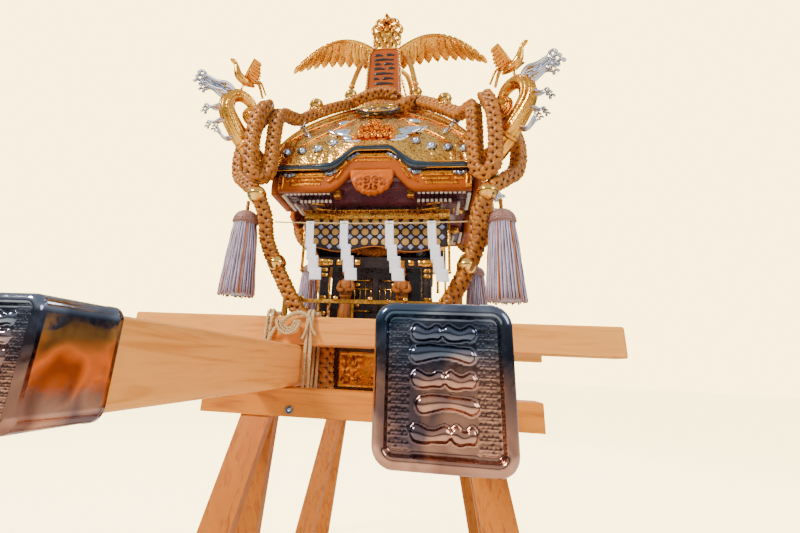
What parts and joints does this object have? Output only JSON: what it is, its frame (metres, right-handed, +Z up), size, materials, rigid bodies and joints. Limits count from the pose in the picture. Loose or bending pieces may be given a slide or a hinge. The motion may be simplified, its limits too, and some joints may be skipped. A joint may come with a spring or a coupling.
{
  "type": "mikoshi shrine",
  "caption": "Portable festival shrine on two trestles, with gilt curved roof, phoenix, ropes, bells, tassels and lashed carrying poles.",
  "frame": {"origin": "on the floor under the middle of the shrine", "axes": "+Z up, +Y from the front to the back along the carrying poles, +X to the right as seen from the front"},
  "size_m": [1.4, 2.801, 2.4278],
  "materials": {
    "pale_wood": "planed, plain",
    "stand_wood": "planed, oiled",
    "cap_metal": "polished, with a dimpled sunk field",
    "lashing_cord": "twisted straw cord",
    "lacquer": "black-brown gloss lacquer on wood",
    "dark_lacquer": "dark gloss lacquer on wood",
    "red_lacquer": "orange-brown lacquer on wood",
    "vermilion_gilt": "orange lacquer with gilt plates",
    "carved_gilt": "carved and gilt",
    "carved_wood": "carved, dark oiled",
    "gilt": "polished gilt",
    "gilt_plate": "engraved gilt plates",
    "rope_braid": "braided silk rope with gilt bells",
    "tassel_silk": "silk cord fringe",
    "white_paper": "folded paper on straw string"
  },
  "bodies": {
    "root": {"trestle_front_beam": "stand_wood", "trestle_front_left_near_leg": "stand_wood", "trestle_front_left_far_leg": "stand_wood", "trestle_front_right_near_leg": "stand_wood", "trestle_front_right_far_leg": "stand_wood", "trestle_back_beam": "stand_wood", "trestle_back_left_near_leg": "stand_wood", "trestle_back_left_far_leg": "stand_wood", "trestle_back_right_near_leg": "stand_wood", "trestle_back_right_far_leg": "stand_wood", "pole_left": "pale_wood", "pole_right": "pale_wood", "pole_cap_front_left": "cap_metal", "pole_cap_front_right": "cap_metal", "pole_cap_back_left": "cap_metal", "pole_cap_back_right": "cap_metal", "cross_beam_front": "pale_wood", "cross_beam_back": "pale_wood", "lashing_front_left": "lashing_cord", "lashing_front_right": "lashing_cord", "lashing_back_left": "lashing_cord", "lashing_back_right": "lashing_cord", "base_frame": "lacquer", "base_panel_front": "carved_gilt", "base_panel_right": "carved_gilt", "base_panel_back": "carved_gilt", "base_panel_left": "carved_gilt", "fence": "gilt", "shrine_body": "lacquer", "dragon_beam": "carved_wood", "guardian_left": "carved_wood", "guardian_right": "carved_wood", "eaves": "dark_lacquer", "gable_board_front": "vermilion_gilt", "gable_board_right": "vermilion_gilt", "gable_board_back": "vermilion_gilt", "gable_board_left": "vermilion_gilt", "roof": "gilt_plate", "finial_base": "gilt", "tablet": "red_lacquer", "phoenix": "gilt", "corner_ornament_front_left": "gilt", "corner_ornament_front_right": "gilt", "corner_ornament_back_left": "gilt", "corner_ornament_back_right": "gilt", "rope_front_left": "rope_braid", "rope_front_right": "rope_braid", "rope_back_left": "rope_braid", "rope_back_right": "rope_braid", "tassel_front_left": "tassel_silk", "tassel_front_right": "tassel_silk", "tassel_back_left": "tassel_silk", "tassel_back_right": "tassel_silk", "hanging_frame_front": "gilt", "hanging_frame_right": "gilt", "hanging_frame_back": "gilt", "hanging_frame_left": "gilt", "paper_string": "white_paper"}
  },
  "joints": []
}
